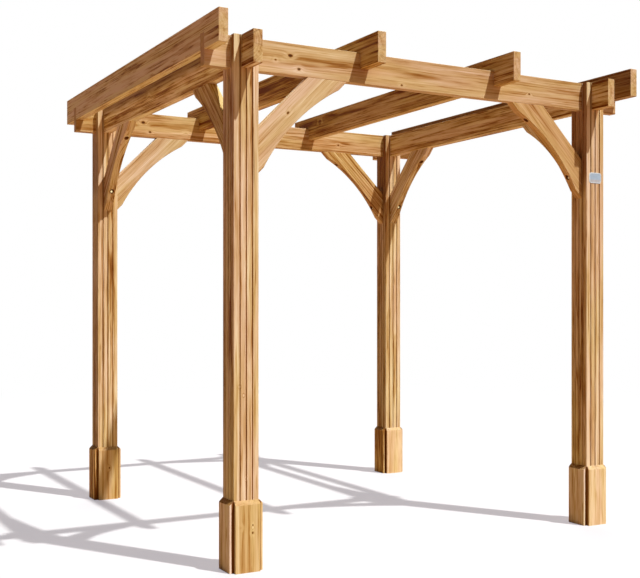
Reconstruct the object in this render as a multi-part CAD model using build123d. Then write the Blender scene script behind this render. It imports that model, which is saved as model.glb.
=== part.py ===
from build123d import *
import os
from math import sqrt

# A square garden pergola. Four fluted posts carry a front, a back and two side beams in
# cross slots in their tops. Four rafters are notched over the front and back beams, a curved
# brace stiffens each inner corner of post and beam, and four boards clad each post's foot.
# Millimetres. +X runs along the front beam, +Y from front to back, +Z up. The origin is on
# the ground at the middle of the plan.

# Overall
overall_length = 2400.0  # along X, over the front and back beams
overall_depth = 2400.0  # along Y, over the side beams and the rafters
post_height = 2360.0
overhang = 122.5  # from a post's outer face to the end of a beam

# Posts
post_size = 120.0
flute_width = 7.0
flute_depth = 5.0
flutes_per_face = 3

# Beams and rafters
beam_thickness = 45.0
beam_depth = 145.0
rafter_thickness = 45.0
rafter_depth = 145.0
rafter_drop = 75.0  # how far a rafter reaches below the top of the beam it crosses

# Braces
brace_thickness = 45.0
brace_width = 145.0
brace_reach = 265.0  # from the inner corner of post and beam to the brace's straight edge
brace_hollow = 40.0  # how deep the other long edge is curved in
brace_flat = 60.0  # what stays straight at each end of that edge

# Screws: through each brace, one level into the post and one upright into the beam
screw_diameter = 7.0
screw_length = 100.0
screw_head_diameter = 16.0
screw_head_height = 5.0
screw_inset = 108.0  # from the end of the brace's curved edge back to the screw's axis
pocket_diameter = 24.0
pocket_depth = 13.0  # on the screw's axis, from the curved edge to the head
pilot_extra = 5.0  # how much deeper the hole is than the screw

# Foot boards
board_thickness = 20.0
board_height = 315.0
board_land = 2.0  # what stays level along a board's top, above its chamfer

# Plain plate on the front right post
plate_width = 84.0
plate_height = 56.0
plate_thickness = 2.0
plate_corner = 14.0
plate_drop = 508.0  # from the post's top to the plate's middle

# Fits and edges
slot_play = 0.5  # each side of a timber in a slot, a halved joint or a notch
screw_play = 0.2  # round a screw in its hole
arris = 2.5  # rounding along the edges of planed timber

# Places that follow from those sizes
pitch_x = overall_length - 2 * overhang - post_size
pitch_y = overall_depth - 2 * overhang - post_size
beam_underside = post_height - beam_depth
beam_slot = beam_thickness + 2 * slot_play
rafter_underside = post_height - rafter_drop
rafter_span = overall_length - rafter_thickness

# A brace's curved edge runs straight from the post and from the beam, then as an arc between.
brace_outer = brace_reach + brace_width * sqrt(2)  # from the inner corner to either end
flat_step = brace_flat / sqrt(2)
half_chord = brace_outer / sqrt(2) - brace_flat
arc_radius = (half_chord**2 + brace_hollow**2) / (2 * brace_hollow)
arc_middle = (brace_outer / sqrt(2) - brace_hollow) / sqrt(2)  # out and down to the arc's middle
arc_center = arc_middle + arc_radius / sqrt(2)  # out and down to its centre
screw_place = brace_outer - screw_inset  # from the inner corner to the screw's axis
screw_seat = arc_center - sqrt(arc_radius**2 - (arc_center - screw_place) ** 2) - pocket_depth

sides = {"left": -1, "right": 1}
ends = {"front": -1, "back": 1}
rafter_places = {"left": -1 / 2, "mid_left": -1 / 6, "mid_right": 1 / 6, "right": 1 / 2}
board_faces = {"front": 0, "right": 90, "back": 180, "left": 270}


def write(shape, node):
    export_step(shape, f"parts/{node}.step")


def timber(length, thickness, depth):
    """A planed bar along X with eased edges, its middle at the origin."""
    bar = Box(length, thickness, depth)
    return fillet(bar.edges(), arris)


# A brace and its screws are made in the brace's own plane. X runs out along the beam from the
# post's face, Z up from the beam's underside, and the brace is symmetric about the 45 degree
# line between them. In a bar's place, both distances are measured from the inner corner.

def level_bar(diameter, start, end):
    """A round bar on the axis of the screw into the post."""
    bar = Rot(0, 90, 0) * Cylinder(diameter / 2, end - start)
    return Pos((start + end) / 2, 0, -screw_place) * bar


def upright_bar(diameter, start, end):
    """The same bar on the axis of the screw into the beam."""
    return Pos(screw_place, 0, -(start + end) / 2) * Cylinder(diameter / 2, end - start)


def screw(bar):
    shank = bar(screw_diameter, screw_seat - screw_length, screw_seat)
    return shank + bar(screw_head_diameter, screw_seat, screw_seat + screw_head_height)


def screw_hole(bar):
    hole_end = screw_seat - screw_length - pilot_extra
    return bar(screw_diameter + 2 * screw_play, hole_end, screw_seat)


def brace():
    """One brace: a plank cut to the post and the beam, with its lower edge curved in."""
    upper_flat = (brace_outer - flat_step, -flat_step)
    lower_flat = (flat_step, flat_step - brace_outer)
    on_post = [(0, -brace_outer), (0, -brace_reach)]
    on_beam = [(brace_reach, 0), (brace_outer, 0)]
    straight = Polyline(lower_flat, *on_post, *on_beam, upper_flat)
    curved = ThreePointArc(upper_flat, (arc_middle, -arc_middle), lower_flat)
    face = make_face(Plane.XZ * (straight + curved))
    plank = extrude(face, brace_thickness / 2, both=True)
    faces = plank.faces().sort_by(Axis.Y)
    plank = fillet(faces[0].edges() + faces[-1].edges(), arris)
    for bar in (level_bar, upright_bar):
        plank -= bar(pocket_diameter, screw_seat, brace_outer)
        plank -= screw_hole(bar)
    return plank


def corners():
    """Each post's name with its side and end as -1 or 1."""
    for end_name, end in ends.items():
        for side_name, side in sides.items():
            yield f"{end_name}_{side_name}", side, end


def post_place(side, end):
    return Pos(side * pitch_x / 2, end * pitch_y / 2, 0)


def along_front(side, end):
    """From a brace's own plane to the post's inner face under the front or back beam."""
    face = Pos(side * (pitch_x - post_size) / 2, end * pitch_y / 2, beam_underside)
    return face * Rot(0, 0, 0 if side < 0 else 180)


def along_side(side, end):
    """From a brace's own plane to the post's inner face under a side beam."""
    face = Pos(side * pitch_x / 2, end * (pitch_y - post_size) / 2, beam_underside)
    return face * Rot(0, 0, 90 if end < 0 else -90)


def fluted_post():
    """A post on the Z axis with flutes down its faces and a cross slot in its top."""
    section = RectangleRounded(post_size, post_size, arris)
    straight = flute_depth - flute_width / 2
    flute = Rectangle(flute_width, 2 * straight) + Pos(0, straight) * Circle(flute_width / 2)
    for turn in range(4):
        for step in range(1, flutes_per_face + 1):
            x = post_size * (step / (flutes_per_face + 1) - 1 / 2)
            section -= Rot(0, 0, 90 * turn) * Pos(x, -post_size / 2) * flute
    bar = extrude(section, post_height)
    slot = Pos(0, 0, post_height - beam_depth / 2) * Box(2 * post_size, beam_slot, beam_depth)
    return bar - slot - Rot(0, 0, 90) * slot


def beam(length, pitch, cut_side):
    """A beam along X, halved over each post from above (1) or from below (-1)."""
    bar = timber(length, beam_thickness, beam_depth)
    halving = Box(beam_slot, 2 * beam_thickness, beam_depth)
    for x in (-pitch / 2, pitch / 2):
        bar -= Pos(x, 0, cut_side * beam_depth / 2) * halving
    return Pos(0, 0, post_height - beam_depth / 2) * bar


def rafter():
    """A rafter along Y, notched from below over the front and back beams."""
    bar = timber(overall_depth, rafter_thickness, rafter_depth)
    bar = Pos(0, 0, rafter_underside + rafter_depth / 2) * bar
    notch = Box(beam_slot, 2 * rafter_thickness, 2 * rafter_drop)
    for x in (-pitch_y / 2, pitch_y / 2):
        bar -= Pos(x, 0, rafter_underside) * notch
    return Rot(0, 0, 90) * bar


def foot_board():
    """A board against a post's front face, standing on the ground, its top edge chamfered."""
    shoulder = board_height - (board_thickness - board_land)
    outer_face = [(-board_thickness, 0), (-board_thickness, shoulder)]
    top = [(-board_land, board_height), (0, board_height)]
    outline = Polyline((0, 0), *outer_face, *top, close=True)
    board = extrude(make_face(Plane.YZ * outline), post_size / 2, both=True)
    outer_edges = board.edges().filter_by(Axis.Z).sort_by(Axis.Y)[:2]
    return Pos(0, -post_size / 2, 0) * fillet(outer_edges, arris)


def plate():
    """The plain plate, flat on the front face of a post."""
    outline = Plane.XZ * RectangleRounded(plate_width, plate_height, plate_corner)
    return Pos(0, -post_size / 2, post_height - plate_drop) * extrude(outline, plate_thickness)


os.makedirs("parts", exist_ok=True)

one_post = fluted_post()
one_brace = brace()
one_board = foot_board()
one_rafter = rafter()
front_beam = beam(overall_length, pitch_x, 1)
side_beam = Rot(0, 0, 90) * beam(overall_depth, pitch_y, -1)
brace_screws = []

for name, side, end in corners():
    place = post_place(side, end)
    post = place * one_post
    for brace_place in (along_front(side, end), along_side(side, end)):
        post -= brace_place * screw_hole(level_bar)
        brace_screws += [brace_place * screw(level_bar), brace_place * screw(upright_bar)]
    write(post, f"post_{name}")
    write(along_front(side, end) * one_brace, f"brace_{name}_along_front")
    write(along_side(side, end) * one_brace, f"brace_{name}_along_side")
    for face_name, angle in board_faces.items():
        write(place * Rot(0, 0, angle) * one_board, f"foot_{name}_{face_name}_board")

for end_name, end in ends.items():
    crossing = Pos(0, end * pitch_y / 2, 0) * front_beam
    for side in sides.values():
        crossing -= along_front(side, end) * screw_hole(upright_bar)
    write(crossing, f"beam_{end_name}")

for side_name, side in sides.items():
    crossing = Pos(side * pitch_x / 2, 0, 0) * side_beam
    for end in ends.values():
        crossing -= along_side(side, end) * screw_hole(upright_bar)
    write(crossing, f"beam_{side_name}")

for name, share in rafter_places.items():
    write(Pos(share * rafter_span, 0, 0) * one_rafter, f"rafter_{name}")

write(Compound(children=brace_screws), "brace_screws")
write(post_place(sides["right"], ends["front"]) * plate(), "plain_plate")
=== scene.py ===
import math
import random

import bmesh
import bpy
from mathutils import Matrix, Vector


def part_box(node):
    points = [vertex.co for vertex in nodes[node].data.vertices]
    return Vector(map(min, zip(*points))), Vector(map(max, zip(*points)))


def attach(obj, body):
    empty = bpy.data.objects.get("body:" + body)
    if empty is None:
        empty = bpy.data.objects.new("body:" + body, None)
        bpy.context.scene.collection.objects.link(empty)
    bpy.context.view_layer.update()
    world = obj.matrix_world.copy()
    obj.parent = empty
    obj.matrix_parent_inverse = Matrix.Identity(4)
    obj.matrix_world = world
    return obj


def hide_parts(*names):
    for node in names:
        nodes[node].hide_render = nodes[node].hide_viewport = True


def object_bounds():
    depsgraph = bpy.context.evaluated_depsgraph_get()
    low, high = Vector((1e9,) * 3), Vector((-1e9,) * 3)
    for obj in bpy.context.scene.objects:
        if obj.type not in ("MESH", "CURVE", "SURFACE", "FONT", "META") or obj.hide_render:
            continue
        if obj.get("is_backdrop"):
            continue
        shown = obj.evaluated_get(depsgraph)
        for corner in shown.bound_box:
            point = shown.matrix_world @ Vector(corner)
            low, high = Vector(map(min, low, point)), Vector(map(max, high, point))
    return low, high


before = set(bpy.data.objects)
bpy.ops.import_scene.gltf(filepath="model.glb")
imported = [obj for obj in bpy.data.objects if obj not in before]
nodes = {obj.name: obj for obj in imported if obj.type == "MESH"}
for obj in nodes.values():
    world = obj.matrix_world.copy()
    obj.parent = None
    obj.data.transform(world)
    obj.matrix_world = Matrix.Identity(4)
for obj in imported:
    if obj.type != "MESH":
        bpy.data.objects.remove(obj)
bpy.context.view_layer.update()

print("Frame loaded:", len(nodes), "pieces")


# Small helpers for building node trees

def addNode(tree, kind, sockets=None, **settings):
    # sockets pairs a socket's name or number with a value or with another node's socket
    node = tree.nodes.new("ShaderNode" + kind)
    for setting, value in settings.items():
        setattr(node, setting, value)
    for socket, value in (sockets or {}).items():
        if isinstance(value, bpy.types.NodeSocket):
            tree.links.new(value, node.inputs[socket])
        else:
            node.inputs[socket].default_value = value
    return node


def calc(tree, operation, *values):
    return addNode(tree, "Math", dict(enumerate(values)), operation=operation).outputs[0]


def calcVector(tree, operation, *values):
    node = addNode(tree, "VectorMath", dict(enumerate(values)), operation=operation)
    return node.outputs["Value" if operation in ("LENGTH", "DOT_PRODUCT") else "Vector"]


def stretch(tree, vector, *scale):
    return calcVector(tree, "MULTIPLY", vector, scale)


def scaled(tree, vector, factor):
    # a vector times one number, which goes into the last of the node's four sockets
    return addNode(tree, "VectorMath", {0: vector, 3: factor}, operation="SCALE").outputs[0]


def joinXYZ(tree, **parts):
    return addNode(tree, "CombineXYZ", parts).outputs[0]


def splitXYZ(tree, vector):
    return addNode(tree, "SeparateXYZ", {0: vector}).outputs


def noise(tree, vector, detail=2.0, roughness=0.5):
    sockets = {"Vector": vector, "Scale": 1.0, "Detail": detail, "Roughness": roughness}
    return addNode(tree, "TexNoise", sockets).outputs


def fromMiddle(tree, value, middle=0.5):
    # how far a value is from its middle one, either way
    return calc(tree, "ABSOLUTE", calc(tree, "SUBTRACT", value, middle))


def remap(tree, value, low, high, toLow=0.0, toHigh=1.0, smooth=True):
    sockets = {"Value": value, "From Min": low, "From Max": high, "To Min": toLow, "To Max": toHigh}
    kind = "SMOOTHSTEP" if smooth else "LINEAR"
    return addNode(tree, "MapRange", sockets, interpolation_type=kind).outputs[0]


def mix(tree, factor, first, second, blend="MIX"):
    # a colour mix: sockets 6 and 7 are its two colours, output 2 its result
    sockets = {0: factor, 6: first, 7: second}
    return addNode(tree, "Mix", sockets, data_type="RGBA", blend_type=blend).outputs[2]


def ramp(tree, factor, stops):
    node = addNode(tree, "ValToRGB", {"Fac": factor})
    elements = node.color_ramp.elements
    while len(elements) < len(stops):
        elements.new(0.5)
    for element, (place, shade) in zip(elements, stops):
        element.position = place
        element.color = (*shade, 1.0) if isinstance(shade, tuple) else (shade, shade, shade, 1.0)
    return node.outputs["Color"]


def startMaterial(name):
    material = bpy.data.materials.new(name)
    material.use_nodes = True
    return material, material.node_tree, material.node_tree.nodes["Principled BSDF"]


def addBump(tree, surface, height, strength, distance):
    bump = addNode(tree, "Bump", {"Strength": strength, "Distance": distance, "Height": height})
    tree.links.new(bump.outputs[0], surface.inputs["Normal"])


# Timber: planed, golden-brown treated softwood, the same in every post, beam, rafter, brace and board.
# Lengths are in metres, colours are linear.

timber = {
    "tones": [  # from dark brown to cream
        (0.00, (0.185, 0.052, 0.004)),
        (0.28, (0.388, 0.190, 0.050)),
        (0.54, (0.600, 0.404, 0.196)),
        (0.80, (0.722, 0.548, 0.338)),
        (1.00, (0.825, 0.685, 0.490)),
    ],
    "tone": 0.56,  # where plain wood lies between them
    "pink": (1.01, 0.985, 1.01, 1.0),
    "olive": (0.99, 1.01, 0.86, 1.0),
    "knotHeart": (0.080, 0.028, 0.008, 1.0),
    "crack": (0.100, 0.038, 0.012, 1.0),
    # what a post's flutes are darkened by: stain and painted shade
    "fluteStainAndShade": (0.60, 0.42, 0.26, 1.0),
    # what painted shade darkens towards, in holes, notches and corners and under other timbers
    "dark": (0.31, 0.155, 0.055, 1.0),
    "specular": 0.06,
    "bump": 0.6,
    "bumpDepth": 0.0005,
    # growth rings
    "ringWidth": 0.0044,
    "ringLine": [(0.0, 0.55), (0.10, 0.0), (0.52, 0.10), (0.88, 1.0), (1.0, 0.55)],  # one year, pale to dark
    "faintYear": 0.25,  # the faintest year's strength beside the strongest
    "yearWidths": (30.0, 6.0),  # how often over a metre, and by how many years, their widths differ
    "wander": 0.018,  # how far the log's heart strays from a straight line
    "wanderPattern": (0.7, 3.0, 3.0),
    "ripple": 0.0045,
    # knots
    "knotCell": (0.42, 0.115, 0.115),  # one knot at most in each such block
    "knotScatter": 0.75,
    "knotRadii": (0.0035, 0.0100),
    "leastRadius": 0.0001,
    "knotLength": 1.45,  # how much longer than wide a knot shows along the grain
    "knotRagged": 0.6,
    "knotPush": 0.0085,  # how far a knot pushes the rings aside
    "knotHold": 0.20,  # how soon that push fades around it
    # patterns: repeats over a metre along the grain and across it, detail and roughness
    "patterns": {
        "ragged": (60.0, 110.0, 2.0, 0.5),
        "ripple": (3.0, 32.0, 3.0, 0.5),
        "band": (0.9, 21.0, 3.0, 0.6),
        "blotch": (3.0, 26.0, 3.0, 0.6),  # where the stain took
        "dash": (3.2, 90.0, 3.0, 0.65),
        "hue": (1.6, 15.0, 1.0, 0.5),
        "fibre": (22.0, 560.0, 2.0, 0.6),
        "scratch": (4.0, 210.0, 1.0, 0.5),
        "fleck": (9.0, 150.0, 0.0, 0.5),
        "crackLine": (0.45, 30.0, 1.0, 0.5),
        "crackPlace": (2.1, 11.0, 1.0, 0.5),
        "wearAndHighlight": (14.0, 40.0, 2.0, 0.5),
    },
    "ringPatterns": {  # the same for those that follow the rings
        "streak": (0.8, 95.0, 3.0, 0.62),
        "vein": (1.9, 210.0, 2.0, 0.6),
    },
    # the value or the distance at which each of these starts, and the one at which it is full
    "fades": {
        "knot": (1.15, 0.80),
        "knotHeart": (0.95, 0.35),
        "haloOutside": (4.5, 1.6),
        "haloInside": (1.0, 1.9),
        "eye": (0.80, 0.50),
        "lid": (0.32, 0.05),
        "vein": (0.56, 0.72),
        "scratch": (0.60, 0.72),
        "fleck": (0.68, 0.82),
        "hue": (0.36, 0.64),
        "crackLine": (0.006, 0.001),
        "crackPlace": (0.65, 0.74),
        "check": (0.006, 0.002),
        "sawnEnd": (0.55, 0.65),
        "flute": (0.0008, 0.0034),
        "arris": (0.0030, 0.0),
        "wearAndHighlight": (0.35, 0.60),
        "sidelong": (0.3, 0.7),
        "strip": (0.022, 0.015),
    },
    # how far each pattern moves the tone, from its middle value
    "shares": {
        "streak": (0.5, 1.15),
        "band": (0.5, 0.80),
        "blotch": (0.5, 0.90),
        "dash": (0.5, 1.10),
        "fibre": (0.5, 0.20),
        "scratch": (0.0, 0.16),
        "fleck": (0.0, -0.26),
        "ring": (0.18, -0.30),
        "vein": (0.15, -0.34),
    },
    "marks": {"halo": 0.10, "arris": 0.22, "knot": -0.45, "eye": 0.26, "lid": -0.24},  # and each mark, the arris one a paler edge from wear and a painted highlight
    "stripReach": 1.0,  # how far up and down from the timber's low end a pale strip may run
    "checkRays": 7.0,  # how close together the checks in a sawn end run
    "checkDepth": 0.6,
    "checkDark": 0.8,
    "crackDark": 0.5,
    "endEvenness": 0.65,  # how much of its pattern a sawn end loses
    "roughness": (0.2, 0.8, 0.72, 0.58),  # fibre from and to, roughness from and to
    "ringGloss": 0.08,
    "endRough": 0.12,
    "relief": {"fibre": 0.5, "ring": 0.45, "knot": 0.35, "crack": 2.5},
}


def makeTimberGroup():
    tree = bpy.data.node_groups.new("planedTimber", "ShaderNodeTree")
    wanted = {
        "Place": "Vector",  # from the piece's middle, X along the grain
        "Shift": "Vector",  # which part of the patterns this piece shows
        "Heart": "Vector",  # where the log's heart runs
        "Half Size": "Vector",
        "Facing": "Float",  # how squarely the surface cuts the grain
        "Fluted": "Float",
        "Dark": "Float",  # painted shade, 1 on the wall of a drilled hole and deep in a corner
        "Own Knot": "Float",  # distance to the nearest chosen knot, in its radii
        "Eye": "Float",  # the same to the nearest pale knot with a dark rim
        "Knottiness": "Float",
        "Knot Depth": "Float",  # how dark the knots are
        "Paleness": "Float",
        "Contrast": "Float",
        "End Tone": "Float",  # how much paler a sawn end is
        "Tint": "Color",
    }
    for name, kind in wanted.items():
        tree.interface.new_socket(name=name, in_out="INPUT", socket_type="NodeSocket" + kind)
    for name, kind in {"Colour": "Color", "Roughness": "Float", "Height": "Float"}.items():
        tree.interface.new_socket(name=name, in_out="OUTPUT", socket_type="NodeSocket" + kind)
    given = tree.nodes.new("NodeGroupInput").outputs
    place = given["Place"]
    spot = calcVector(tree, "ADD", place, given["Shift"])
    grain = {}
    for name, (lengthwise, crosswise, *look) in timber["patterns"].items():
        grain[name] = noise(tree, stretch(tree, spot, lengthwise, crosswise, crosswise), *look)[0]

    def fade(value, name):
        return remap(tree, value, *timber["fades"][name])

    # Knots: the nearest cell's point in a stretched pattern, measured back in metres
    cell = timber["knotCell"]
    cells = stretch(tree, spot, *(1 / width for width in cell))
    sockets = {"Vector": cells, "Scale": 1.0, "Randomness": timber["knotScatter"]}
    nearest = addNode(tree, "TexVoronoi", sockets)
    away = calcVector(tree, "SUBTRACT", cells, nearest.outputs["Position"])
    away = stretch(tree, away, cell[0] / timber["knotLength"], cell[1], cell[2])
    lot = addNode(tree, "SeparateColor", {0: nearest.outputs["Color"]}).outputs
    chance = calc(tree, "SUBTRACT", lot["Red"], calc(tree, "SUBTRACT", 1.0, given["Knottiness"]))
    size = remap(tree, lot["Green"], 0.0, 1.0, *timber["knotRadii"], smooth=False)
    size = calc(tree, "MULTIPLY", size, calc(tree, "GREATER_THAN", chance, 0.0))
    size = calc(tree, "MAXIMUM", size, timber["leastRadius"])
    knot = calc(tree, "DIVIDE", calcVector(tree, "LENGTH", away), size)
    knot = calc(tree, "MINIMUM", knot, given["Own Knot"])
    ragged = calc(tree, "SUBTRACT", grain["ragged"], 0.5)
    knot = calc(tree, "ADD", knot, calc(tree, "MULTIPLY", ragged, timber["knotRagged"]))
    bend = calc(tree, "MULTIPLY", calc(tree, "MULTIPLY", knot, knot), -timber["knotHold"])
    bend = calc(tree, "EXPONENT", bend)
    inKnot = fade(knot, "knot")
    halo = calc(tree, "MULTIPLY", fade(knot, "haloOutside"), fade(knot, "haloInside"))

    # Growth rings round the heart, which wanders, pushed aside by knots; the years differ in width
    wander = noise(tree, stretch(tree, spot, *timber["wanderPattern"]))["Color"]
    wander = calcVector(tree, "SUBTRACT", wander, (0.5, 0.5, 0.5))
    wander = stretch(tree, wander, 0.0, timber["wander"], timber["wander"])
    across = calcVector(tree, "ADD", calcVector(tree, "SUBTRACT", place, given["Heart"]), wander)
    across = stretch(tree, across, 0.0, 1.0, 1.0)
    ripple = calc(tree, "SUBTRACT", grain["ripple"], 0.5)
    radius = calcVector(tree, "LENGTH", across)
    radius = calc(tree, "ADD", radius, calc(tree, "MULTIPLY", bend, timber["knotPush"]))
    radius = calc(tree, "ADD", radius, calc(tree, "MULTIPLY", ripple, timber["ripple"]))
    often, years = timber["yearWidths"]
    uneven = noise(tree, stretch(tree, joinXYZ(tree, X=radius), often, 1.0, 1.0))[0]
    count = calc(tree, "DIVIDE", radius, timber["ringWidth"])
    count = calc(tree, "ADD", count, calc(tree, "MULTIPLY", uneven, years))
    ring = ramp(tree, calc(tree, "FRACT", count), timber["ringLine"])
    year = addNode(tree, "TexWhiteNoise", {"W": calc(tree, "FLOOR", count)}, noise_dimensions="1D").outputs[0]
    strength = remap(tree, year, 0.0, 1.0, timber["faintYear"], 1.0, smooth=False)
    grain["ring"] = calc(tree, "MULTIPLY", ring, strength)

    # Streaks and veins that follow the rings
    run = splitXYZ(tree, spot)["X"]
    for name, (lengthwise, outwards, *look) in timber["ringPatterns"].items():
        outer = calc(tree, "MULTIPLY", radius, outwards)
        inRings = joinXYZ(tree, X=calc(tree, "MULTIPLY", run, lengthwise), Y=outer)
        grain[name] = noise(tree, inRings, *look)[0]
    for name in ("vein", "scratch", "fleck"):
        grain[name] = fade(grain[name], name)

    # Drying cracks, short and thin, along the grain
    crack = fade(fromMiddle(tree, grain["crackLine"]), "crackLine")
    crack = calc(tree, "MULTIPLY", crack, fade(grain["crackPlace"], "crackPlace"))

    # The sawn ends, with a few fine checks that run out from the heart
    end = fade(calc(tree, "ABSOLUTE", given["Facing"]), "sawnEnd")
    planed = calc(tree, "SUBTRACT", 1.0, end)
    outward = splitXYZ(tree, across)
    angle = calc(tree, "ARCTAN2", outward["Y"], outward["Z"])
    rays = joinXYZ(tree, X=calc(tree, "MULTIPLY", angle, timber["checkRays"]), Y=run)
    check = fade(fromMiddle(tree, noise(tree, rays)[0]), "check")
    check = calc(tree, "MULTIPLY", check, calc(tree, "MULTIPLY", end, timber["checkDepth"]))

    # Stain and painted shade darken a post's flutes; the edges are paler, with rubbed-off stain and a painted
    # highlight
    inward = calcVector(tree, "SUBTRACT", given["Half Size"], calcVector(tree, "ABSOLUTE", place))
    inward = splitXYZ(tree, inward)
    depths = (inward["Y"], inward["Z"])
    flute = fade(calc(tree, "MINIMUM", *depths), "flute")
    flute = calc(tree, "MULTIPLY", calc(tree, "MULTIPLY", flute, given["Fluted"]), planed)
    # paler edges: partly wear, partly a painted highlight
    arris = calc(tree, "MULTIPLY", fade(calc(tree, "MAXIMUM", *depths), "arris"), fade(grain["wearAndHighlight"], "wearAndHighlight"))

    # All of that moves one tone between dark brown and cream
    tone = calc(tree, "MULTIPLY_ADD", given["Paleness"], planed, timber["tone"])
    vivid = calc(tree, "SUBTRACT", 1.0, calc(tree, "MULTIPLY", end, timber["endEvenness"]))
    vivid = calc(tree, "MULTIPLY", vivid, given["Contrast"])
    for name, (middle, share) in timber["shares"].items():
        part = calc(tree, "MULTIPLY", calc(tree, "SUBTRACT", grain[name], middle), share)
        tone = calc(tree, "MULTIPLY_ADD", part, vivid, tone)
    tone = calc(tree, "MULTIPLY_ADD", end, given["End Tone"], tone)
    marks = {
        "halo": halo,
        "arris": arris,
        "knot": calc(tree, "MULTIPLY", inKnot, given["Knot Depth"]),
        "eye": fade(given["Eye"], "eye"),
        "lid": fade(fromMiddle(tree, given["Eye"], 1.0), "lid"),
    }
    for name, mark in marks.items():
        tone = calc(tree, "MULTIPLY_ADD", mark, timber["marks"][name], tone)
    colour = ramp(tree, tone, timber["tones"])
    cast = mix(tree, fade(grain["hue"], "hue"), timber["pink"], timber["olive"])
    colour = mix(tree, 1.0, colour, cast, "MULTIPLY")
    core = calc(tree, "MULTIPLY", marks["knot"], fade(knot, "knotHeart"))
    colour = mix(tree, core, colour, timber["knotHeart"])
    # stain and painted shade in the flutes
    colour = mix(tree, flute, colour, timber["fluteStainAndShade"], "MULTIPLY")
    # painted shade in holes, notches, corners and on the faces given
    colour = mix(tree, given["Dark"], colour, timber["dark"], "MULTIPLY")
    opened = calc(tree, "MULTIPLY", crack, timber["crackDark"])
    opened = calc(tree, "MAXIMUM", opened, calc(tree, "MULTIPLY", check, timber["checkDark"]))
    colour = mix(tree, opened, colour, timber["crack"])
    colour = mix(tree, planed, colour, given["Tint"], "MULTIPLY")

    rough = remap(tree, grain["fibre"], *timber["roughness"])
    rough = calc(tree, "SUBTRACT", rough, calc(tree, "MULTIPLY", grain["ring"], timber["ringGloss"]))
    rough = calc(tree, "ADD", rough, calc(tree, "MULTIPLY", end, timber["endRough"]))
    relief = timber["relief"]
    height = calc(tree, "MULTIPLY", grain["fibre"], relief["fibre"])
    height = calc(tree, "ADD", height, calc(tree, "MULTIPLY", grain["ring"], relief["ring"]))
    height = calc(tree, "ADD", height, calc(tree, "MULTIPLY", inKnot, relief["knot"]))
    gap = calc(tree, "MAXIMUM", crack, check)
    height = calc(tree, "SUBTRACT", height, calc(tree, "MULTIPLY", gap, relief["crack"]))
    out = tree.nodes.new("NodeGroupOutput")
    for name, socket in {"Colour": colour, "Roughness": rough, "Height": height}.items():
        tree.links.new(socket, out.inputs[name])
    return tree


timberGroup = makeTimberGroup()
draws = random.Random(11)
lots = {  # what is drawn by lot for each timber
    "heartAcross": 0.45,  # how far off the middle the heart runs, as a share of half the width
    "heartOut": (0.7, 1.3),
    "shift": 40.0,
    "light": (0.96, 1.04),
    "warm": 0.03,
}
farAway = 50.0  # stands for the distance to a knot on a timber that has none


def fromLine(tree, spot, middle, axis, half):
    # how far a spot is from a straight line, given by its middle, its direction and half its length
    away = calcVector(tree, "SUBTRACT", spot, middle)
    run = calcVector(tree, "DOT_PRODUCT", away, axis)
    run = addNode(tree, "Clamp", {"Value": run, "Min": -half, "Max": half}).outputs[0]
    return calcVector(tree, "LENGTH", calcVector(tree, "SUBTRACT", away, scaled(tree, axis, run)))


def nearestKnot(tree, spot, knots):
    # the distance to the nearest of the chosen knots, in its own radii
    nearest = farAway
    for *middle, radius in knots:
        away = calcVector(tree, "SUBTRACT", spot, middle)
        away = stretch(tree, away, 1 / timber["knotLength"], 1.0, 1.0)
        knot = calc(tree, "DIVIDE", calcVector(tree, "LENGTH", away), radius)
        nearest = knot if nearest == farAway else calc(tree, "MINIMUM", nearest, knot)
    return nearest


def paintedShade(tree, look, place, coordinates, spot, lines):
    # painted shade: 1 near the given lines, and as much as given on the faces that look the given way along a
    # stretch of the timber
    dark = 0.0
    for middle, axis, half in lines:
        away = fromLine(tree, coordinates["Object"], middle, axis, half)
        shade = remap(tree, away, look["darkTo"], look["darkFrom"])
        dark = shade if dark == 0.0 else calc(tree, "MAXIMUM", dark, shade)
    for run, start, full, way, amount in look["shades"].get(place, ()):
        towards = calcVector(tree, "DOT_PRODUCT", coordinates["Normal"], way)
        shade = remap(tree, splitXYZ(tree, spot)[run], start, full)
        shade = calc(tree, "MULTIPLY", shade, calc(tree, "MULTIPLY", towards, amount))
        dark = calc(tree, "MAXIMUM", dark, shade)
    return dark


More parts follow.
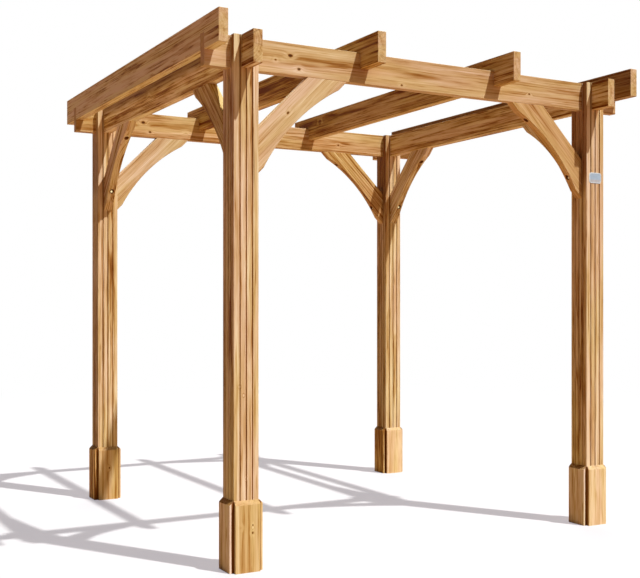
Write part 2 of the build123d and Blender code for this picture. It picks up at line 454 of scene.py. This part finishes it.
def finishTimber(name, place, grain, width, look, lines=()):
    # grain and width are the timber's own directions, and a chosen knot is given in them, from its
    # middle: along, across, out and its radius
    low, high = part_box(name)
    size = high - low
    axes = [Vector(grain).normalized(), Vector(width).normalized()]
    axes.append(axes[0].cross(axes[1]))
    halves = [sum(abs(a * b) for a, b in zip(axis, size)) / 2 for axis in axes]
    heartAcross = draws.uniform(-lots["heartAcross"], lots["heartAcross"]) * halves[1]
    heartOut = look["heartOut"] * draws.choice((-1, 1)) * draws.uniform(*lots["heartOut"])
    shift = [draws.uniform(-lots["shift"], lots["shift"]) for _ in range(3)]
    light = draws.uniform(*lots["light"])
    warm = draws.uniform(-lots["warm"], lots["warm"])
    red, green, blue = look["tints"].get(place, look["tint"])

    material, tree, surface = startMaterial(name + "Wood")
    coordinates = addNode(tree, "TexCoord").outputs
    sockets = {
        "Vector": coordinates["Object"],
        "Location": (low + high) / 2,
        "Rotation": Matrix(axes).transposed().to_euler(),
    }
    spot = addNode(tree, "Mapping", sockets, vector_type="TEXTURE").outputs[0]
    contrast = look["contrasts"].get(place, look["contrast"])
    if look["sideContrast"] != 1.0:
        sidelong = calc(tree, "ABSOLUTE", calcVector(tree, "DOT_PRODUCT", coordinates["Normal"], axes[1]))
        sideContrast = contrast * look["sideContrast"]
        contrast = remap(tree, sidelong, *timber["fades"]["sidelong"], contrast, sideContrast)
    paleness = look["paleness"].get(place, 0.0) + look["pale"]
    if place in look["strips"]:
        away = fromLine(tree, coordinates["Object"], low, axes[0], timber["stripReach"])
        paler = paleness + look["strips"][place]
        paleness = remap(tree, away, *timber["fades"]["strip"], paleness, paler)
    given = {
        "Place": spot,
        "Shift": shift,
        "Heart": (0.0, heartAcross, heartOut),
        "Half Size": halves,
        "Facing": calcVector(tree, "DOT_PRODUCT", coordinates["Normal"], axes[0]),
        "Fluted": look["fluted"],
        "Dark": paintedShade(tree, look, place, coordinates, spot, lines),
        "Own Knot": nearestKnot(tree, spot, look["knots"].get(place, ())),
        "Eye": nearestKnot(tree, spot, look["eyes"].get(place, ())),
        "Knottiness": look["knottiness"],
        "Knot Depth": look["knotDepth"],
        "Paleness": paleness,
        "Contrast": contrast,
        "End Tone": look["endTones"].get(place, look["endTone"]),
        "Tint": (red * light * (1 + warm), green * light, blue * light * (1 - warm), 1.0),
    }
    finish = addNode(tree, "Group", given, node_tree=timberGroup).outputs
    tree.links.new(finish["Colour"], surface.inputs["Base Color"])
    tree.links.new(finish["Roughness"], surface.inputs["Roughness"])
    surface.inputs["Specular IOR Level"].default_value = timber["specular"]
    addBump(tree, surface, finish["Height"], timber["bump"], timber["bumpDepth"])
    nodes[name].material_slots[0].material = material


def findScrews():
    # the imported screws: the top of each one's head, the way it points, and the head's radius
    shape = bmesh.new()
    shape.from_mesh(nodes["brace_screws"].data)
    bmesh.ops.remove_doubles(shape, verts=shape.verts, dist=1e-6)
    found = []
    seen = set()
    for first in shape.verts:
        if first in seen:
            continue
        seen.add(first)
        group = [first]
        for vert in group:
            near = [edge.other_vert(vert) for edge in vert.link_edges]
            group += [other for other in near if other not in seen]
            seen.update(near)
        low = Vector(min(vert.co[axis] for vert in group) for axis in range(3))
        high = Vector(max(vert.co[axis] for vert in group) for axis in range(3))
        size = high - low
        longest = max(range(3), key=lambda axis: size[axis])
        mean = sum(vert.co[longest] for vert in group) / len(group)  # more of them lie at the head
        outward = Vector((0.0, 0.0, 0.0))
        outward[longest] = math.copysign(1.0, mean - (low[longest] + high[longest]) / 2)
        top = (low + high) / 2 + outward * size[longest] / 2
        found.append({"top": top, "outward": outward, "radius": size[(longest + 1) % 3] / 2})
    shape.free()
    return found


screws = findScrews()
print("Screws found:", len(screws))

directions = {"x": (1, 0, 0), "y": (0, 1, 0), "z": (0, 0, 1)}
towardsLeft = (-1, 0, 0)
towardsGround = (0, 0, -1)
sides = {"left": -1, "right": 1}
ends = {"front": -1, "back": 1}
corners = [f"{endName}_{sideName}" for endName in ends for sideName in sides]

# What a timber may be given: the first two lines hold for all of a kind, the others for named places
anyTimber = {
    "knotDepth": 0.85, "fluted": 0.0, "pale": 0.0, "contrast": 1.0, "sideContrast": 1.0, "endTone": 0.0,
    "tint": (1.0, 1.0, 1.0),
    "paleness": {}, "contrasts": {}, "tints": {}, "endTones": {},
    "shades": {},  # painted shade: measured which way, where each starts and is full, the face it is on, its strength
    "strips": {},  # how much paler the front left corner is
    "knots": {}, "eyes": {},
}
allAlong = ("X", -1.30, -1.25)  # for a painted shade over a timber's whole length


def footLines(corner):
    # the upright lines of a post's own corners, nearly as high as the boards round its foot
    low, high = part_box(f"post_{corner}")
    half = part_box(f"foot_{corner}_front_board")[1].z / 2 - posts["footGap"]
    return [((x, y, half), directions["z"], half) for x in (low.x, high.x) for y in (low.y, high.y)]


# Posts, cut round the heart of the log
posts = {
    **anyTimber,
    "heartOut": 0.014, "knottiness": 0.34, "fluted": 1.0, "pale": 0.09, "sideContrast": 1.9, "endTone": 0.06,
    "paleness": {"front_left": 0.01, "front_right": 0.06, "back_left": 0.05},
    # painted shade on the posts' left faces, near the top among the braces and beams, and a little all along
    # on the back ones
    "shades": {
        "front_left": (("X", 0.58, 0.74, towardsLeft, 0.20), ("X", 1.00, 1.10, towardsLeft, 0.95)),
        "front_right": (("X", 0.55, 0.72, towardsLeft, 0.80),),
        "back_left": (("X", 0.58, 0.74, towardsLeft, 0.60), (*allAlong, towardsLeft, 0.17)),
        "back_right": (("X", 0.58, 0.74, towardsLeft, 0.90), (*allAlong, towardsLeft, 0.20)),
    },
    "footGap": 0.006, "darkFrom": 0.008, "darkTo": 0.014,  # painted shade in the deep part between the post and its boards
    "knots": {"front_left": ((-0.771, -0.0015, -0.06, 0.004),)},
    "eyes": {"front_left": ((-0.404, -0.013, -0.06, 0.0062), (-0.366, -0.031, -0.06, 0.0075))},
}
for corner in corners:
    finishTimber(f"post_{corner}", corner, directions["z"], directions["x"], posts, footLines(corner))
print("Posts finished")

# Beams and rafters, planks on edge
shownKnots = (
    (-0.782, 0.016, 0.0225, 0.0088), (-0.739, -0.041, 0.0225, 0.0068),
    (-0.184, -0.056, 0.0225, 0.005), (0.599, -0.022, 0.0225, 0.005),
)
beams = {
    **anyTimber,
    "heartOut": 0.085, "knottiness": 0.40, "knotDepth": 0.92, "pale": -0.03, "contrast": 1.7, "endTone": 0.05,
    "tint": (1.0, 1.0, 0.98),
    "paleness": {"back": -0.10, "left": 0.09},
    "contrasts": {"front": 0.70, "back": 0.80},
    "tints": {"left": (1.06, 1.10, 1.10), "front": (0.97, 0.97, 1.0)},
    "endTones": {"left": -0.08},
    # painted shade on the left beam's left face, under the rafter and towards its front end
    "shades": {"left": (("Y", -0.010, 0.062, towardsLeft, 0.85), ("X", -1.00, -1.09, towardsLeft, 0.35))},
    "knots": {"front": shownKnots, "back": shownKnots},
}
for endName in ends:
    finishTimber(f"beam_{endName}", endName, directions["x"], directions["z"], beams)
for sideName in sides:
    finishTimber(f"beam_{sideName}", sideName, directions["y"], directions["z"], beams)

rafters = {
    **anyTimber,
    "heartOut": 0.075, "knottiness": 0.42, "pale": -0.02, "contrast": 1.75, "endTone": 0.01,
    "tint": (1.0, 0.98, 0.80),
    # painted light and shade: the left rafter is paler, the middle-left and right ones darker, for how their
    # left faces are lit
    "paleness": {"left": 0.20, "mid_left": -0.14, "right": -0.04},
    "contrasts": {"left": 1.7, "mid_right": 1.4},
    "tints": {"left": (1.12, 1.15, 1.02), "mid_left": (0.98, 0.88, 0.60), "right": (1.02, 0.92, 0.72)},
    # painted shade on the left rafter's underside and on the right rafter's left face and underside
    "shades": {
        "left": (("Y", -0.050, -0.065, towardsGround, 0.12),),
        "right": ((*allAlong, towardsLeft, 0.68), (*allAlong, towardsGround, 0.4)),
    },
}
for place in ("left", "mid_left", "mid_right", "right"):
    finishTimber(f"rafter_{place}", place, directions["y"], directions["z"], rafters)
print("Beams and rafters finished")

# Braces, with the grain along each brace
braces = {
    **anyTimber,
    "heartOut": 0.070, "knottiness": 0.36, "contrast": 1.5,
    "paleness": {
        "back_right_along_front": -0.14, "back_left_along_side": 0.08, "back_left_along_front": 0.05,
    },
    "contrasts": {
        "front_left_along_front": 0.75, "front_right_along_front": 0.6,
        "back_left_along_front": 0.7, "back_right_along_front": 1.0,
    },
    "tints": {
        "back_right_along_front": (0.98, 0.96, 0.86), "front_left_along_side": (0.95, 0.96, 0.80),
        "front_right_along_front": (1.0, 0.91, 0.80), "front_left_along_front": (0.99, 1.03, 1.14),
        "back_right_along_side": (1.03, 1.10, 1.35),
    },
    "pocketReach": 0.1, "darkFrom": 0.0123, "darkTo": 0.0132,  # painted shade on the walls of the screws' pockets
    "knots": {"front_left_along_front": ((-0.006, 0.096, 0.0225, 0.006),)},
}
for endName, end in ends.items():
    for sideName, side in sides.items():
        runs = {  # the way along each brace, and the way across it
            "along_front": ((-side, 0, 1), (side, 0, 1)),
            "along_side": ((0, -end, 1), (0, end, 1)),
        }
        for runName, (run, width) in runs.items():
            brace = f"{endName}_{sideName}_{runName}"
            low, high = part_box(f"brace_{brace}")
            inside = [screw for screw in screws if all(a < b < c for a, b, c in zip(low, screw["top"], high))]
            pockets = [(screw["top"], screw["outward"], braces["pocketReach"]) for screw in inside]
            finishTimber(f"brace_{brace}", brace, run, width, braces, pockets)
print("Braces finished")

# Foot boards, upright round each post's foot
boards = {
    **anyTimber,
    "heartOut": 0.060, "knottiness": 0.30, "knotDepth": 0.90, "contrast": 0.9, "endTone": -0.26,
    "widths": {"front": "x", "right": "y", "back": "x", "left": "y"},  # the way across each board
    "tint": (1.02, 1.0, 0.96),
    "paleness": {
        "front_right_front": 0.27, "back_right_front": 0.24,
        "front_right_left": 0.30, "front_left_left": 0.20, "back_right_left": -0.12,
    },
    "contrasts": {
        "front_left_front": 0.60, "front_left_left": 1.8, "front_right_left": 2.2,
        "back_left_left": 2.0, "back_right_left": 1.8,
    },
    "tints": {
        "front_left_front": (0.98, 1.0, 0.86), "back_left_front": (0.92, 0.82, 0.64),
        "front_left_left": (1.07, 1.07, 1.30), "front_right_left": (1.08, 1.08, 1.30),
        "back_left_left": (1.08, 1.0, 0.90), "back_right_left": (1.03, 0.97, 0.78),
    },
    "endTones": {
        "front_left_front": -0.08, "front_right_front": 0.10,
        "back_right_front": 0.10, "back_left_front": -0.10,
    },
    "strips": {"front_left_front": 0.34, "back_left_front": 0.24},
    "darkFrom": 0.008, "darkTo": 0.013,  # painted shade in the deep part of the notch between two boards
    "knots": {
        "front_left_front": ((0.0163, 0.022, -0.01, 0.0045), (0.0502, 0.0225, -0.01, 0.0028)),
        "back_left_front": ((0.032, 0.0045, -0.01, 0.0055),),
    },
    "eyes": {"front_left_front": ((0.0385, 0.0225, -0.01, 0.0058),)},
}
for corner in corners:
    lines = footLines(corner)
    for faceName, width in boards["widths"].items():
        board = f"{corner}_{faceName}"
        finishTimber(f"foot_{board}_board", board, directions["z"], directions[width], boards, lines)
print("Foot boards finished")


def growRings(shape, around, rings):
    # a closed turned form up the Z axis: each ring of a radius and a height is extruded from the last one,
    # and where a ring has a third number its six lobes stand out by that share
    radius, height, *_ = rings[0]
    start = Matrix.Translation((0.0, 0.0, height))
    made = bmesh.ops.create_circle(shape, cap_ends=True, segments=around, radius=radius, matrix=start)
    verts = list(made["verts"])
    base = cap = verts[0].link_faces[0]
    for radius, height, *lobe in rings[1:]:
        grown = bmesh.ops.extrude_face_region(shape, geom=[cap])["geom"]
        if cap is not base:
            shape.faces.remove(cap)
        cap = next(part for part in grown if isinstance(part, bmesh.types.BMFace))
        ring = [part for part in grown if isinstance(part, bmesh.types.BMVert)]
        for vert in ring:
            angle = math.atan2(vert.co.y, vert.co.x)
            reach = radius * (1 + (lobe[0] * math.cos(6 * angle) if lobe else 0.0))
            vert.co = (reach * math.cos(angle), reach * math.sin(angle), height)
        verts += ring
    return verts


def finishMesh(shape, name, node, materials, sharp):
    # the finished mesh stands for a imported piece, and its edges past the angle stay crisp
    bmesh.ops.recalc_face_normals(shape, faces=shape.faces)
    mesh = bpy.data.meshes.new(name)
    shape.to_mesh(mesh)
    shape.free()
    mesh.shade_smooth()
    mesh.set_sharp_from_angle(angle=math.radians(sharp))
    for material in materials:
        mesh.materials.append(material)
    piece = bpy.data.objects.new(name, mesh)
    bpy.context.scene.collection.objects.link(piece)
    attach(piece, "root")
    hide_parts(node)


# Metal, whose colour and roughness change a little over it

metalGrain = {
    "cloud": 90.0,
    "cloudFade": (0.35, 0.65),
    "grainFade": (0.3, 0.7),
    "smoother": 0.08,
    "rougher": 0.10,
    "bump": 0.3,
    "bumpDepth": 0.0001,
}


def metal(name, look):
    material, tree, surface = startMaterial(name)
    surface.inputs["Metallic"].default_value = 1.0
    here = addNode(tree, "Mapping", {"Vector": addNode(tree, "TexCoord").outputs["Object"]}).outputs[0]
    grain = noise(tree, stretch(tree, here, *look["grain"]), 3.0, 0.6)[0]
    cloud = noise(tree, stretch(tree, here, *[metalGrain["cloud"]] * 3))[0]
    dark = tuple(part * (1 - look["change"]) for part in look["colour"])
    cloud = remap(tree, cloud, *metalGrain["cloudFade"])
    tree.links.new(mix(tree, cloud, (*dark, 1.0), (*look["colour"], 1.0)), surface.inputs["Base Color"])
    smooth = look["roughness"] - metalGrain["smoother"]
    rough = look["roughness"] + metalGrain["rougher"]
    rough = remap(tree, grain, *metalGrain["grainFade"], smooth, rough)
    tree.links.new(rough, surface.inputs["Roughness"])
    addBump(tree, surface, grain, metalGrain["bump"], metalGrain["bumpDepth"])
    return material


# Brace screws: yellow-passivated, with a flange, a domed head, a six-pointed drive and a thread
screwForm = {
    "around": 48,
    "rings": (  # shares of the head's radius, heights below its top, and how far the drive's lobes stand out
        (0.06, -0.105), (0.32, -0.097), (0.32, -0.048), (0.42, -0.046), (0.42, -0.0062), (0.56, -0.0050),
        (1.00, -0.0050), (1.00, -0.0032), (0.98, -0.0028), (0.86, -0.0022), (0.82, -0.0010), (0.78, -0.0003),
        (0.72, 0.0), (0.330, 0.0, 0.10), (0.310, -0.0003, 0.13), (0.290, -0.0016, 0.13), (0.12, -0.0019),
    ),
    "threadTurns": 13,
    "threadSteps": 18,  # in each turn
    "threadStart": -0.095,
    "threadRise": 0.0036,
    "threadSize": 0.0008,
    "sharp": 32,
    "gold": {"colour": (1.0, 0.80, 0.46), "roughness": 0.24, "grain": (900.0, 900.0, 900.0), "change": 0.25},
}


def makeScrews():
    one = bmesh.new()
    rings = [(share * screws[0]["radius"], *rest) for share, *rest in screwForm["rings"]]
    growRings(one, screwForm["around"], rings)
    shank = rings[1][0]
    upright = Matrix.Rotation(math.radians(90), 4, "X")
    start = Matrix.Translation((shank, 0.0, screwForm["threadStart"])) @ upright
    size = screwForm["threadSize"]
    made = bmesh.ops.create_circle(one, cap_ends=True, segments=3, radius=size, matrix=start)["verts"]
    section = list({part for vert in made for part in (*vert.link_edges, *vert.link_faces)})
    steps = screwForm["threadTurns"] * screwForm["threadSteps"]
    bmesh.ops.spin(one, geom=made + section, cent=(0, 0, 0), axis=(0, 0, 1), steps=steps,
                   angle=math.tau * screwForm["threadTurns"],
                   dvec=(0, 0, screwForm["threadRise"] / screwForm["threadSteps"]))
    bmesh.ops.recalc_face_normals(one, faces=one.faces)
    pattern = bpy.data.meshes.new("oneScrew")
    one.to_mesh(pattern)
    one.free()
    joined = bmesh.new()
    for screw in screws:
        before = len(joined.verts)
        joined.from_mesh(pattern)
        added = list(joined.verts)[before:]
        turn = screw["outward"].to_track_quat("Z", "Y").to_matrix().to_4x4()
        spun = Matrix.Rotation(draws.uniform(0.0, math.tau), 4, "Z")
        bmesh.ops.transform(joined, verts=added, matrix=Matrix.Translation(screw["top"]) @ turn @ spun)
    bpy.data.meshes.remove(pattern)
    gold = metal("yellowPassivated", screwForm["gold"])
    finishMesh(joined, "flangedScrews", "brace_screws", [gold], screwForm["sharp"])


makeScrews()
print("Screws made")


# Plain plate: a blank enamelled plate in a raised metal rim, held by four small pins
plateForm = {
    "corner": 0.014,
    "cornerSteps": 12,
    "edge": 0.0005,
    "edgeSteps": 3,
    "rim": 0.0032,
    "slope": 0.0006,
    "sunk": 0.0006,
    "pins": (0.40, 0.30),  # how far out and up they stand, as shares of the plate's width and height
    "pinSides": 20,
    "pinRings": ((0.0017, 0.0), (0.0017, 0.0003), (0.0013, 0.00052), (0.0006, 0.0006)),
    "sharp": 28,
    "metal": {"colour": (0.62, 0.64, 0.66), "roughness": 0.38, "grain": (40.0, 900.0, 900.0), "change": 0.12},
    "enamel": (0.370, 0.500, 0.640, 1.0),
    "enamelLow": (0.460, 0.480, 0.510, 1.0),
    "lowShare": 0.34,  # how much of its height the lower colour takes
    "line": 0.0002,  # half the width in which one colour turns into the other
    "cloud": (60.0, 60.0, 40.0),
    "cloudShade": (0.3, 0.7, 0.92, 1.05),
    "cloudRoughness": (0.3, 0.7, 0.30, 0.42),
    "dust": (900.0, 900.0, 900.0),
    "dustShade": (0.62, 0.75, 0.0, -0.10),
}


def makeEnamel(middle, height):
    material, tree, surface = startMaterial("plainEnamel")
    sockets = {"Vector": addNode(tree, "TexCoord").outputs["Object"], "Location": middle}
    here = addNode(tree, "Mapping", sockets, vector_type="TEXTURE").outputs[0]
    up = splitXYZ(tree, here)["Z"]
    line = height * (plateForm["lowShare"] - 0.5)
    upper = remap(tree, up, line - plateForm["line"], line + plateForm["line"])
    colour = mix(tree, upper, plateForm["enamelLow"], plateForm["enamel"])
    cloud = noise(tree, stretch(tree, here, *plateForm["cloud"]), 3.0, 0.6)[0]
    dust = noise(tree, stretch(tree, here, *plateForm["dust"]), 1.0)[0]
    dust = remap(tree, dust, *plateForm["dustShade"])
    shade = calc(tree, "ADD", remap(tree, cloud, *plateForm["cloudShade"]), dust)
    tree.links.new(scaled(tree, colour, shade), surface.inputs["Base Color"])
    tree.links.new(remap(tree, cloud, *plateForm["cloudRoughness"]), surface.inputs["Roughness"])
    return material


def makePlate():
    low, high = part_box("plain_plate")
    size = high - low
    middle = (low + high) / 2
    shape = bmesh.new()
    bmesh.ops.create_cube(shape, size=1.0, matrix=Matrix.Translation(middle) @ Matrix.Diagonal((*size, 1.0)))
    through = [edge for edge in shape.edges if abs((edge.verts[0].co - edge.verts[1].co).y) > size.y / 2]
    bmesh.ops.bevel(shape, geom=through, offset=plateForm["corner"], segments=plateForm["cornerSteps"],
                    affect="EDGES", profile=0.5, material=-1)
    front = next(face for face in shape.faces if face.normal.y < -0.9)
    bmesh.ops.bevel(shape, geom=list(front.edges), offset=plateForm["edge"], segments=plateForm["edgeSteps"],
                    affect="EDGES", profile=0.5, material=-1)
    front = max((face for face in shape.faces if face.normal.y < -0.9), key=lambda face: face.calc_area())
    bmesh.ops.inset_region(shape, faces=[front], thickness=plateForm["rim"], use_even_offset=True)
    bmesh.ops.inset_region(shape, faces=[front], thickness=plateForm["slope"], depth=-plateForm["sunk"],
                           use_even_offset=True)
    front.material_index = 1
    forward = Matrix.Rotation(math.radians(90), 4, "X")
    for across in (-1, 1):
        for up in (-1, 1):
            x = middle.x + across * plateForm["pins"][0] * size.x
            z = middle.z + up * plateForm["pins"][1] * size.z
            pin = growRings(shape, plateForm["pinSides"], plateForm["pinRings"])
            spot = Matrix.Translation((x, low.y + plateForm["sunk"], z))
            bmesh.ops.transform(shape, verts=pin, matrix=spot @ forward)
    materials = [metal("brushedRim", plateForm["metal"]), makeEnamel(middle, size.z)]
    finishMesh(shape, "blankPlate", "plain_plate", materials, plateForm["sharp"])


makePlate()
print("Plate made")


# The floor: pale, and only the camera sees it as bright as this

floorLook = {
    "radius": 60.0,
    "around": 96,
    "seen": (0.446, 0.440, 0.426, 1.0),  # what the camera sees takes the lamps' light with this
    "lift": (0.385, 0.370, 0.408, 1.0),  # and glows this much by itself
    "fadeFrom": 3.5,  # where it starts to turn into plain white
    "fadeTo": 9.0,
    "bounce": (0.537, 0.344, 0.149, 1.0),  # what lights the timber from below, near the middle
    "bounceFar": (0.382, 0.169, 0.122, 1.0),
    "bounceFrom": 2.6,
    "bounceTo": 4.6,
}


def seenDirectly(tree):
    # 1 for what the camera sees, and what shows in the metal
    rays = addNode(tree, "LightPath").outputs
    return calc(tree, "MAXIMUM", rays["Is Camera Ray"], rays["Is Glossy Ray"])


def makeFloor():
    mesh = bpy.data.meshes.new("floor")
    shape = bmesh.new()
    bmesh.ops.create_circle(shape, cap_ends=True, segments=floorLook["around"], radius=floorLook["radius"])
    shape.to_mesh(mesh)
    shape.free()
    floor = bpy.data.objects.new("floor", mesh)
    bpy.context.scene.collection.objects.link(floor)
    material, tree, _ = startMaterial("paleFloor")
    tree.nodes.clear()
    away = calcVector(tree, "LENGTH", addNode(tree, "TexCoord").outputs["Object"])
    seen = addNode(tree, "BsdfDiffuse", {"Color": floorLook["seen"]}).outputs[0]
    glow = addNode(tree, "Emission", {"Color": floorLook["lift"], "Strength": 1.0}).outputs[0]
    near = addNode(tree, "AddShader", {0: seen, 1: glow}).outputs[0]
    white = addNode(tree, "Emission", {"Strength": 1.0}).outputs[0]
    far = remap(tree, away, floorLook["fadeFrom"], floorLook["fadeTo"])
    shown = addNode(tree, "MixShader", {0: far, 1: near, 2: white}).outputs[0]
    far = remap(tree, away, floorLook["bounceFrom"], floorLook["bounceTo"])
    lit = mix(tree, far, floorLook["bounce"], floorLook["bounceFar"])
    other = addNode(tree, "BsdfDiffuse", {"Color": lit}).outputs[0]
    result = addNode(tree, "MixShader", {0: seenDirectly(tree), 1: other, 2: shown}).outputs[0]
    addNode(tree, "OutputMaterial", {"Surface": result})
    mesh.materials.append(material)
    floor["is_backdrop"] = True


makeFloor()


# Light: a high key from the right and in front, a low soft fill beside the camera, a soft one from
# behind, and a dim warm surround that shows as white

lights = {
    "key": {"travel": (-0.294, 0.520, -1.0), "strength": 4.42, "spread": 1.0, "colour": (1.0, 1.01, 1.03)},
    "fill": {"travel": (-0.30, 0.92, -0.30), "strength": 0.42, "spread": 50.0, "colour": (1.0, 0.90, 0.68)},
    "back": {"travel": (-0.45, -0.80, -0.35), "strength": 2.2, "spread": 60.0, "colour": (1.0, 0.94, 0.86)},
}
surround = {"strength": 0.02, "colour": (1.0, 0.62, 0.34, 1.0)}

for name, look in lights.items():
    lamp = bpy.data.lights.new(name, "SUN")
    lamp.energy = look["strength"]
    lamp.angle = math.radians(look["spread"])
    lamp.color = look["colour"]
    lampObject = bpy.data.objects.new(name, lamp)
    lampObject.rotation_euler = Vector(look["travel"]).to_track_quat("-Z", "Y").to_euler()
    bpy.context.scene.collection.objects.link(lampObject)

world = bpy.data.worlds.new("surround")
world.use_nodes = True
bpy.context.scene.world = world
tree = world.node_tree
tree.nodes.clear()
rays = addNode(tree, "LightPath").outputs
sees = calc(tree, "MAXIMUM", seenDirectly(tree), rays["Is Transmission Ray"])
dim = addNode(tree, "Background", {"Color": surround["colour"], "Strength": surround["strength"]}).outputs[0]
white = addNode(tree, "Background", {"Color": (1.0, 1.0, 1.0, 1.0), "Strength": 1.0}).outputs[0]
shown = addNode(tree, "MixShader", {0: sees, 1: dim, 2: white}).outputs[0]
addNode(tree, "OutputWorld", {"Surface": shown})


# Camera: at head height in front and to the left, level, turned to the right

view = {"place": (-2.942, -5.364, 1.172), "turn": 30.0, "lens": 59.84, "shift": (-0.0543, 0.0253)}
camera = bpy.data.cameras.new("camera")
camera.lens = view["lens"]
camera.shift_x, camera.shift_y = view["shift"]
cameraObject = bpy.data.objects.new("camera", camera)
cameraObject.location = view["place"]
cameraObject.rotation_euler = (math.radians(90), 0.0, math.radians(-view["turn"]))
bpy.context.scene.collection.objects.link(cameraObject)
bpy.context.scene.camera = cameraObject
bpy.context.scene.view_settings.view_transform = "Standard"
print("Floor, lights and camera set")

low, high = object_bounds()
